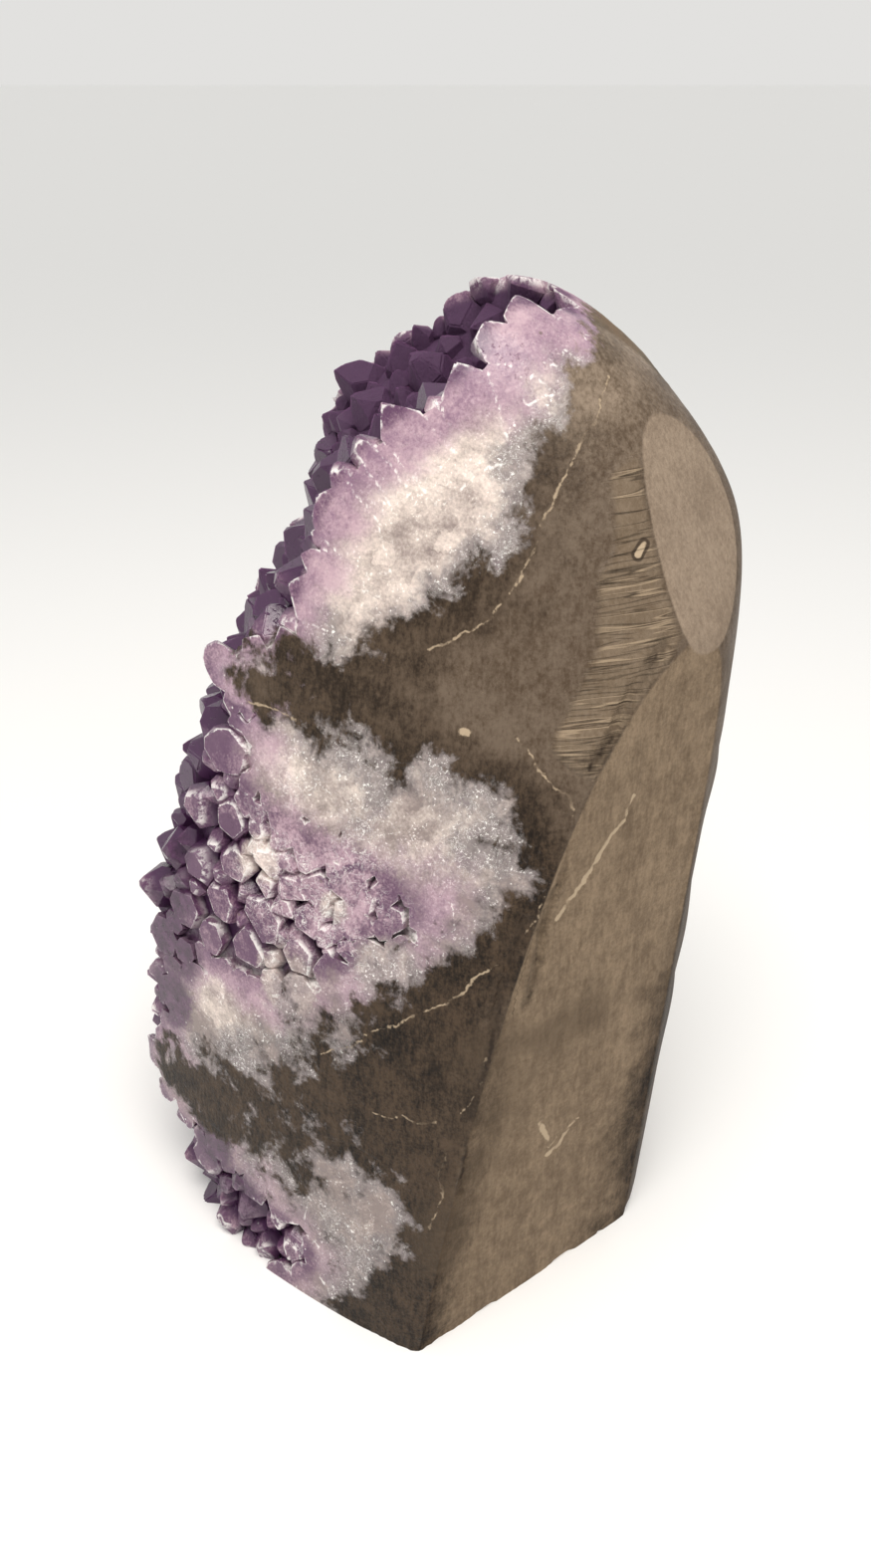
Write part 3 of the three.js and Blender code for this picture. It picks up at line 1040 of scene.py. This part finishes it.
def quartz_colour(place, at, ragged):
    """Milk, a grey fringe at the rock, lavender at the druse, and cut crystal tips."""
    cloud = place.noise(12.0, 3.0, 0.55)
    frost = place.noise(2.4, 5.0, 0.72)
    grain = place.noise(0.55, 3.0, 0.7)
    fibre = at.fibre_place.noise(2.4, 3.0, 0.6)
    plate = place.vector("ADD", place.wander(2.5, 0.0012)).tone(3.0)
    milk = cloud * 0.8 + frost * 0.3 + fibre * 0.4 + grain * 0.45 + plate * 0.2
    # The milk turns greyer lower down: partly grey translucent quartz, partly painted shade of the
    # light from above.
    milk = milk + at.height.ramp(90.0, 150.0) * 0.22 + at.frosted * 0.2
    milk = milk.ramp(0.91, 1.56).mix(MILK_SHADE, MILK)
    fringe = ragged.stir(cloud, 24.0).stir(frost, 8.0).ramp(-8.0, 0.0) * 0.8
    quartz = fringe.mix(milk, FRINGE)
    # White dots and threads: partly white grains, partly painted glints.
    crumbs_and_glints = grain.ramp(0.56, 0.64) * (frost + cloud * 0.3).ramp(0.6, 0.76)
    threads_and_glints = place.noise(2.2, 5.0, 0.7, 0.6).near(0.5, 0.014) * cloud.ramp(0.4, 0.6)
    quartz = (crumbs_and_glints * 0.8 + threads_and_glints * 0.55).ramp(0.0, 1.0).mix(quartz, SPARKLE)
    column = at.root_place.noise(6.0, 2.0)
    out = at.out_of_floor.stir(cloud, 9.0).stir(column, 9.0).stir(frost, 5.0)
    reach = at.height.ramp(145.0, 180.0) * 4.5
    around = at.in_pocket.ramp(0.02, 0.3)
    tint = (out + reach - around * 3.0).ramp(-6.5, 1.0) * (0.9 - around * 0.4)
    tint = tint * at.height.ramp(20.0, 75.0, 0.6, 1.0)
    blotch = column * 0.7 + frost * 0.6 + cloud * 0.3 + grain * 0.5
    section = tint.mix(quartz, blotch.ramp(0.8, 1.3).mix(MAUVE, LAVENDER))
    tone = place.vector("ADD", place.wander(3.0, 0.0014)).tone(5.0)
    tips = tone * 0.5 + frost * 1.0 + cloud * 0.3 + grain * 0.8
    tips = (tips + at.in_pocket.ramp(0.2, 0.7) * 0.25).ramp(1.2, 1.9).mix(MAUVE_DEEP, LAVENDER)
    section = (at.out_of_floor.stir(frost, 5.0).ramp(0.0, 2.5) * 0.9).mix(section, tips)
    # Deep spots: partly the amethyst's own dark violet, partly painted shade.
    deep = at.deep.stir(frost, 0.9).stir(cloud, 0.6).ramp(0.1, 0.5) * 0.9
    section = deep.mix(section, frost.ramp(0.35, 0.65).mix(VIOLET_BLACK, MAUVE_DEEP))
    pale = at.frosted.stir(frost, 0.9).stir(cloud, 0.5).ramp(0.2, 0.6) * 0.8
    section = pale.mix(section, quartz)
    # White frosted rims and specks: partly white frost, partly painted glints.
    frosted = at.rim.ramp(0.2, 0.9) * frost.ramp(0.42, 0.58) * 0.7 * (1 - deep)
    section = frosted.mix(section, SPARKLE)
    section = (specks(place, 1.3, 0.22, 0.25) * frost.ramp(0.45, 0.6)).mix(section, SPARKLE)
    section = (threads_and_glints * at.in_pocket.ramp(0.05, 0.5)).mix(section, SPARKLE)
    section = (specks(place, 3.1, 0.16, 0.25) * 0.7).mix(section, PIT)
    # Surfaces sunk below the polish, the druse floor between the crystals, turn dark violet: partly
    # the lining's colour, partly painted shade between the crystals.
    return at.below_polish.ramp(1.0, 3.0).mix(section, LINING_VIOLET_AND_SHADE)


print("milk as light:", [round(level, 2) for level in MILK[:3]])

# %% Ground and polished rock
ROCK_BLACK = paint(18, 11, 6)
ROCK_DARK = paint(76, 61, 47)
ROCK_MID = paint(108, 94, 80)
SIDE_SHADE = paint(100, 84, 67)
SIDE_TAN = paint(144, 125, 103)
SHOULDER_SHADE = paint(126, 110, 94)
SHOULDER_TAN = paint(154, 137, 119)
SAW_LIGHT = paint(162, 143, 119)
SKIN_DARK = paint(62, 54, 45)
SKIN_LIGHT = paint(122, 109, 92)
RUST = paint(108, 84, 62)
VEIN = paint(176, 157, 132)
STAIN = paint(82, 68, 53)
CRACK_DARK_AND_SHADE = paint(40, 30, 22)


def back_skin(place, cloud, blotch, grain):
    """The weathered skin of the unground back, with rust and black pores."""
    skin = (cloud * 0.8 + blotch * 0.7 + grain * 0.5).ramp(0.7, 1.3).mix(SKIN_DARK, SKIN_LIGHT)
    rust = (cloud * 0.7 + place.noise(24.0, 3.0) * 0.7).ramp(0.66, 0.9) * 0.6
    return (place.noise(1.6, 4.0, 0.7).ramp(0.42, 0.32) * 0.6).mix(rust.mix(skin, RUST), ROCK_BLACK)


def rock_colour(place, at, ragged):
    """Dark near the quartz and darker low down, partly as painted shade; painted light pales the
    top; tan on the flats, streaked by the saw, stained low down.
    """
    cloud = place.noise(16.0, 4.0, 0.6)
    blotch = place.noise(4.5, 5.0, 0.68)
    grain = place.noise(0.7, 3.0, 0.7)
    scratch = place.vector("MULTIPLY", (1, 1, 0.25)).noise(0.9, 3.0, 0.7)
    streak = place.vector("MULTIPLY", (1, 1, 0.12)).noise(4.5, 4.0, 0.62)
    mottle = (cloud * 0.45 + blotch * 0.5 + scratch * 0.55 + grain * 0.5).ramp(0.78, 1.22)
    rock_grey = mottle.mix(ROCK_DARK, ROCK_MID)
    # Darker rock low down: partly the rock's own colour, partly painted shade of the light from
    # above.
    up = at.height.ramp(30.0, 150.0)
    near = ragged.stir(cloud, 20.0).ramp(16.0, 0.0) * 0.7 + (1 - up) * 0.95
    colour = near.ramp(0.0, 1.0).mix(rock_grey, mottle.mix(ROCK_BLACK, ROCK_DARK))
    # The top is painted paler: painted light, as on a top edge lit from behind.
    painted_light_on_top = at.height.stir(cloud, 30.0).ramp(168.0, 192.0) * 0.8
    colour = painted_light_on_top.mix(colour, mottle.mix(SIDE_SHADE, SHOULDER_TAN))
    back = at.on_back.stir(blotch, 0.8).ramp(0.3, 0.7)
    colour = back.mix(colour, back_skin(place, cloud, blotch, grain))
    # The side flat is painted lighter higher up and gives way to darker rock near its edge low
    # down: partly rock colour, partly painted shade.
    side = streak * 0.4 + scratch * 0.4 + grain * 0.4 + blotch * 0.5 + up * 0.06
    low = at.height.ramp(95.0, 45.0)
    worn_edge = at.side_step.stir(cloud, 8.0).stir(blotch, 5.0).ramp(-0.4, 6.5)
    on_side = at.side_step.ramp(-0.15, 0.2) * (1 - low) + worn_edge * low
    colour = on_side.mix(colour, side.ramp(0.66, 1.12).mix(SIDE_SHADE, SIDE_TAN))
    shoulder = (cloud * 0.5 + scratch * 0.4 + grain * 0.4).ramp(0.5, 0.85)
    shoulder = shoulder.mix(SHOULDER_SHADE, SHOULDER_TAN)
    colour = at.shoulder_step.ramp(-0.1, 0.1).mix(colour, shoulder)
    groove = at.saw_place.noise(1.5, 2.0, 0.5)
    sawn = (groove.near(0.54, 0.03) * 0.65 + 0.3).mix(rock_grey, SAW_LIGHT)
    sawn = (groove.near(0.5, 0.024) * 0.62).mix(sawn, ROCK_BLACK)
    colour = (at.saw_band * 0.85).mix(colour, sawn)
    return (at.stain.length().stir(cloud, 18.0).ramp(11.0, 0.0) * 0.55).mix(colour, STAIN)


print("red of the rock as light: from", round(ROCK_BLACK[0], 3), "to", round(SAW_LIGHT[0], 2))

# %% What every finish starts with
QUARTZ_IOR = 1.55
GLOW_DEPTH = 0.003
NUMBERS = (
    "into_rock", "out_of_floor", "below_polish", "height", "on_back", "in_pocket", "deep",
    "frosted", "side_step", "shoulder_step", "saw_band", "rim", "worn_edge", "crystal_shade",
)
PLACES = (
    "root_place", "fibre_place", "saw_place", "pale_vein", "thick_vein", "fissure", "stain",
    "pebble",
)


def new_finish(name):
    """An empty material, the place on the piece, and all the corner values by name."""
    material = bpy.data.materials.new(name)
    material.use_nodes = True
    tree = material.node_tree
    tree.nodes.remove(tree.nodes["Principled BSDF"])
    at = SimpleNamespace()
    for names, output in ((NUMBERS, "Fac"), (PLACES, "Vector")):
        for layer in names:
            layer_name = {"attribute_name": layer}
            setattr(at, layer, Wire.add(tree, "ShaderNodeAttribute", layer_name, output=output))
    return material, tree, Wire.add(tree, "ShaderNodeTexCoord", output="Object"), at


def bump(height, strength, depth):
    return height.more(
        "ShaderNodeBump", None, {"Strength": strength, "Distance": depth, "Height": height})


def principled(look, settings):
    return look["Base Color"].more("ShaderNodeBsdfPrincipled", None, look | settings)


print("every finish can read", len(NUMBERS), "numbers and", len(PLACES), "places")

# %% The section's finish
def drawn_line(place, offset, thin, soft, wobble):
    """1 on a hand-drawn line with a random wobble, 0 away from it."""
    moved = offset.vector("ADD", place.wander(3.0, wobble))
    moved = moved.vector("ADD", place.wander(0.9, wobble * 0.35))
    return moved.length().ramp(thin + soft, thin)


def draw_marks(place, at, colour, tuft, broken):
    """Lays the veins, the cracks with a wide band of painted shade beside them, and the pebble over
    the section's colour.
    """
    thin = drawn_line(place, at.pale_vein, 0.12, 0.26, 0.9) * (broken * 0.55 + 0.2)
    thick = drawn_line(place, at.thick_vein, 0.4, 0.4, 0.9) * (broken * 0.4 + 0.6)
    colour = (thin + thick).ramp(0.0, 1.0).mix(colour, VEIN)
    # The wide dark band along the cracks is painted shade; the thin crack line and the pebble's rim
    # are dark stone.
    painted_crack_shade = at.fissure.length().stir(tuft, 5.0).ramp(2.4, 0.0) * broken * 0.5
    crack = drawn_line(place, at.fissure, 0.15, 0.5, 0.9) * (broken * 0.6 + 0.3)
    pebble_rim = drawn_line(place, at.pebble, 0.95, 0.3, 0.2) * 0.75
    for mark in (painted_crack_shade, crack, pebble_rim):
        colour = mark.mix(colour, CRACK_DARK_AND_SHADE)
    return drawn_line(place, at.pebble, 0.5, 0.2, 0.2).mix(colour, VEIN)


def section_finish(name):
    """Polished quartz and ground rock in one finish, mixed where they meet."""
    material, tree, place, at = new_finish(name)
    finger = place.noise(7.0, 4.0, 0.62, 0.3)
    tuft = place.noise(1.2, 5.0, 0.75)
    ragged = at.into_rock.stir(finger, 20.0).stir(tuft, 5.0) + 1.0
    rockiness = ragged.ramp(-2.0, 1.4)
    colour = rockiness.mix(quartz_colour(place, at, ragged), rock_colour(place, at, ragged))
    broken = place.noise(7.0, 2.0).ramp(0.32, 0.52)
    colour = draw_marks(place, at, colour, tuft, broken)
    flats = (at.side_step.ramp(-0.15, 0.2) + at.shoulder_step.ramp(-0.1, 0.1)).ramp(0.0, 1.0)
    matte = (flats + at.saw_band + at.on_back).ramp(0.0, 1.0)
    dull = (matte + at.into_rock.ramp(6.0, 40.0) * 0.5).ramp(0.0, 1.0)
    roughness = dull.mix(rockiness.mix(grey(0.22), grey(0.4)), grey(0.75))
    pits = place.noise(1.4, 3.0, 0.7).ramp(0.4, 0.3) * (1 - rockiness)
    scratch = place.vector("MULTIPLY", (1, 1, 0.2)).noise(0.8, 3.0, 0.65)
    groove = (1 - at.saw_place.noise(2.0, 2.0, 0.5).near(0.5, 0.04)) * at.saw_band * 2.0
    rough = (rockiness * 0.6 + matte).ramp(0.0, 1.0)
    grain = place.noise(0.9, 4.0, 0.7) * (0.22 + rough * 0.78)
    grain = grain + scratch * rough * 0.6 + groove - pits * 0.6
    look = {"Base Color": colour, "Roughness": roughness, "Normal": bump(grain, 0.6, 0.0005)}
    quartz = principled(look, {
        "IOR": QUARTZ_IOR, "Specular IOR Level": 0.4, "Subsurface Weight": 0.25,
        "Subsurface Radius": (1.0, 0.75, 0.9), "Subsurface Scale": GLOW_DEPTH,
    })
    basalt = principled(look, {"IOR": QUARTZ_IOR, "Specular IOR Level": 0.13})
    both = Wire.add(tree, "ShaderNodeMixShader", None, {0: rockiness, 1: quartz, 2: basalt})
    tree.links.new(both.socket, tree.nodes["Material Output"].inputs["Surface"])
    return material


polished_section = section_finish("polished_section")
print("the section's finish has", len(polished_section.node_tree.nodes), "nodes")

# %% [markdown]
# ## The crystals' finish
#
# Amethyst is clear violet quartz full of veils and cracks. Seen in a druse it is
# dark between the points and paler where light comes through a tip. The colour
# differs from crystal to crystal, is deepest low on the front, partly as painted
# shade, and pales to frosted mauve in the side pocket. Some transmission lets the
# faces behind show through, and the bruised edges are pale.

# %% Crystals
AMETHYST_PALE = paint(204, 168, 192)
AMETHYST = paint(172, 110, 162)
AMETHYST_DEEP = paint(94, 44, 99)
AMETHYST_DARK = paint(44, 16, 44)
BRUISED = paint(220, 196, 208)


def crystal_finish(name):
    material, tree, place, at = new_finish(name)
    veil = place.noise(3.0, 5.0, 0.72, 0.5)
    crumb = place.noise(0.7, 3.0, 0.7)
    zone = place.noise(20.0, 3.0)
    shade, pocket = at.crystal_shade, at.in_pocket
    # Crystals are deeper violet low down and paler high up: partly their own colour, partly painted
    # shade of the low front.
    high = at.height.ramp(110.0, 150.0)
    clear = veil * 0.8 + crumb * 0.3 + zone * 0.6 + shade * 0.25 + high * 0.12 + pocket * 0.32
    colour = clear.ramp(0.9, 1.37).mix(AMETHYST_DEEP, AMETHYST)
    frost = (veil * 0.8 + crumb * 0.5 + shade * 0.2 + pocket * 0.22).ramp(0.85, 1.1)
    frost = frost * (0.15 + high * 0.2 + pocket * 0.6)
    near_polish = at.below_polish.stir(veil, 9.0).ramp(5.0, 0.5)
    near_polish = near_polish * (0.06 + high * 0.16 + pocket * 0.5)
    edge = at.worn_edge * (veil * 0.6 + crumb * 0.4).ramp(0.46, 0.6)
    edge = edge * (0.1 + high * 0.15 + pocket * 0.7)
    # Deep spots: partly the amethyst's own dark violet, partly painted shade.
    deep = at.deep.stir(veil, 0.9).ramp(0.0, 0.45) * 0.85
    white = at.frosted.stir(veil, 0.9).ramp(0.3, 0.8) * 0.45
    for where, tint in (
        (frost, AMETHYST_PALE), (near_polish, AMETHYST_PALE), (edge, BRUISED),
        (deep, AMETHYST_DARK), (white, MILK), (specks(place, 1.8, 0.25, 0.3) * 0.7, BRUISED),
    ):
        colour = where.mix(colour, tint)
    roughness = place.noise(2.5, 3.0).mix(grey(0.12), grey(0.42))
    normal = bump(veil + crumb * 0.5, 0.7, 0.0006)
    look = {"Base Color": colour, "Roughness": roughness, "Normal": normal}
    crystal = principled(look, {
        "IOR": QUARTZ_IOR, "Specular IOR Level": 0.15, "Transmission Weight": 0.2,
        "Subsurface Weight": 0.3, "Subsurface Radius": (1.0, 0.6, 1.0),
        "Subsurface Scale": GLOW_DEPTH,
    })
    tree.links.new(crystal.socket, tree.nodes["Material Output"].inputs["Surface"])
    return material


for piece in (rock, crust):
    piece.data.materials.clear()
    piece.data.materials.append(polished_section)
crust.data.materials.append(crystal_finish("amethyst_crystal_finish"))
print("finishes:", [material.name for material in crust.data.materials])

# %% The pieces take their places in the frame
for piece, node, slot in (
    (rock, "basalt_matrix", "basalt_rock"),
    (crust, "amethyst_crust", "amethyst_quartz"),
):
    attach(piece, "root")
    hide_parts(node)
    print(piece.name, "stands for", node)

# %% [markdown]
# ## Floor and light
#
# A pale floor and large soft lights, as in a small studio. The key hangs high above
# the camera. A weaker light fills in from the crystal side, and a small warm one
# stands low on the left, for facets and sparkling grains to mirror.

# %% Studio
def area_light(name, place, power, size, colour=(1, 1, 1)):
    light = bpy.data.lights.new(name, "AREA")
    light.energy = power
    light.size = size
    light.color = colour
    lamp = bpy.data.objects.new(name, light)
    lamp.location = place
    x, y, z = np.array([0, 0, 0.1]) - np.array(place)
    lamp.rotation_euler = (math.atan2(math.hypot(x, y), -z), 0, math.atan2(x, -y))
    bpy.context.scene.collection.objects.link(lamp)


bpy.ops.mesh.primitive_plane_add(size=80, location=(0, 0, 0))
floor = bpy.context.object
floor.name = "studio_floor"
pale_floor = bpy.data.materials.new("pale_floor")
pale_floor.use_nodes = True
sockets = pale_floor.node_tree.nodes["Principled BSDF"].inputs
sockets["Base Color"].default_value = (0.96, 0.96, 0.95, 1)
sockets["Roughness"].default_value = 0.9
floor.data.materials.append(pale_floor)
world = bpy.data.worlds.new("studio")
bpy.context.scene.world = world
world.use_nodes = True
world.node_tree.nodes["Background"].inputs["Color"].default_value = (1, 0.99, 0.97, 1)
world.node_tree.nodes["Background"].inputs["Strength"].default_value = 0.76
WARM = (1, 0.95, 0.9)
area_light("key", (0.3, 0.0, 0.85), 6.0, 0.45, WARM)
area_light("fill", (0.25, -0.7, 0.45), 4.0, 0.5)
area_light("glint", (0.45, -0.25, 0.25), 2.0, 0.06, WARM)
bpy.context.scene.view_settings.view_transform = "Standard"
print("lights:", len(bpy.data.lights))

# %% Sizes and the end
print("CAD box", [round(v * 1000, 1) for v in (*cad_low, *cad_high)])
